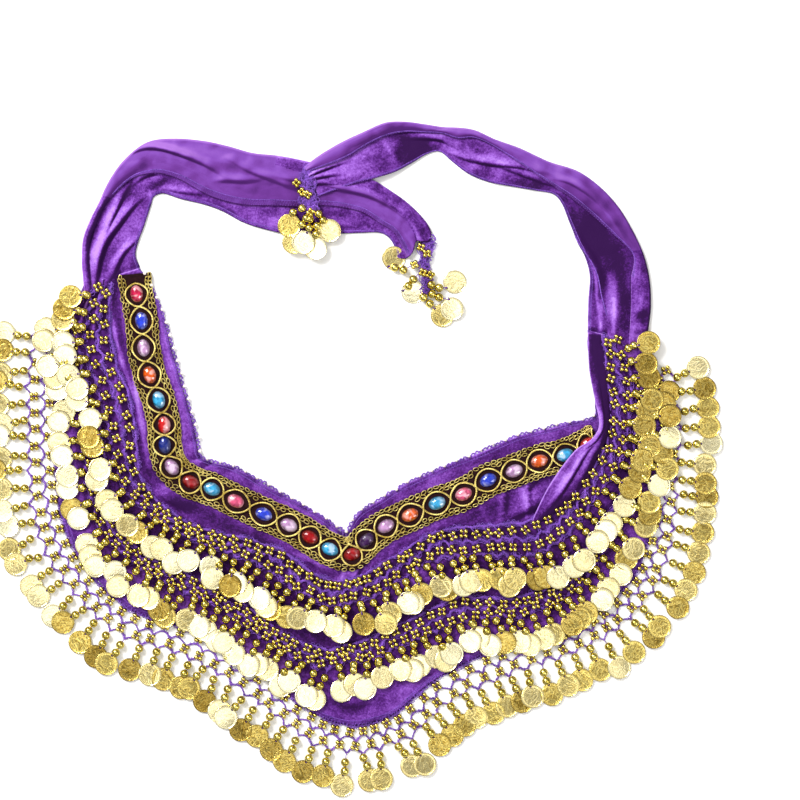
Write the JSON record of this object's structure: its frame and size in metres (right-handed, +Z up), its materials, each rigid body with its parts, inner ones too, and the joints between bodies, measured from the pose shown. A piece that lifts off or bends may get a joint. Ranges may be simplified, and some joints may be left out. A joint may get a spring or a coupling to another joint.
{
  "type": "belly dance hip scarf",
  "caption": "Boomerang-shaped velvet hip scarf with two waist ties, a jewelled braid waistband and tiers of crochet net ending in beaded coin drops, laid flat.",
  "frame": {"origin": "centre of the bounding box on the table plane", "axes": "+X along the scarf from the wearer's right hip to the left as laid, +Y from the hem towards the waist ties, +Z up from the table"},
  "size_m": [0.5652, 0.517, 0.01],
  "materials": {
    "velvet": "crushed panne velvet",
    "velvet_back": "smooth knit back",
    "crochet_thread": "crocheted cord",
    "black_tape": "woven",
    "gold_braid": "metallic braid",
    "gold_metal": "pressed and polished",
    "gold_bead": "polished",
    "gems": "faceted, foil backed, in several colours"
  },
  "bodies": {
    "root": {"panel": "velvet", "left_tie": "velvet", "right_tie": "velvet", "hip_fold": "velvet", "waist_trim": "gold_braid", "hem_net_1": "crochet_thread", "hem_net_2": "crochet_thread", "hem_net_3": "crochet_thread", "hem_net_4": "crochet_thread", "hem_net_5": "crochet_thread", "hem_net_6": "crochet_thread", "upper_net_1": "crochet_thread", "upper_net_2": "crochet_thread", "upper_net_3": "crochet_thread", "upper_net_4": "crochet_thread", "lower_net_1": "crochet_thread", "lower_net_2": "crochet_thread", "lower_net_3": "crochet_thread", "lower_net_4": "crochet_thread", "hem_drops_1": "gold_metal", "hem_drops_2": "gold_metal", "hem_drops_3": "gold_metal", "hem_drops_4": "gold_metal", "hem_drops_5": "gold_metal", "hem_drops_6": "gold_metal", "upper_drops_1": "gold_metal", "upper_drops_2": "gold_metal", "upper_drops_3": "gold_metal", "upper_drops_4": "gold_metal", "lower_drops_1": "gold_metal", "lower_drops_2": "gold_metal", "lower_drops_3": "gold_metal", "lower_drops_4": "gold_metal", "left_tassel": "gold_metal", "right_tassel": "gold_metal"}
  },
  "joints": []
}
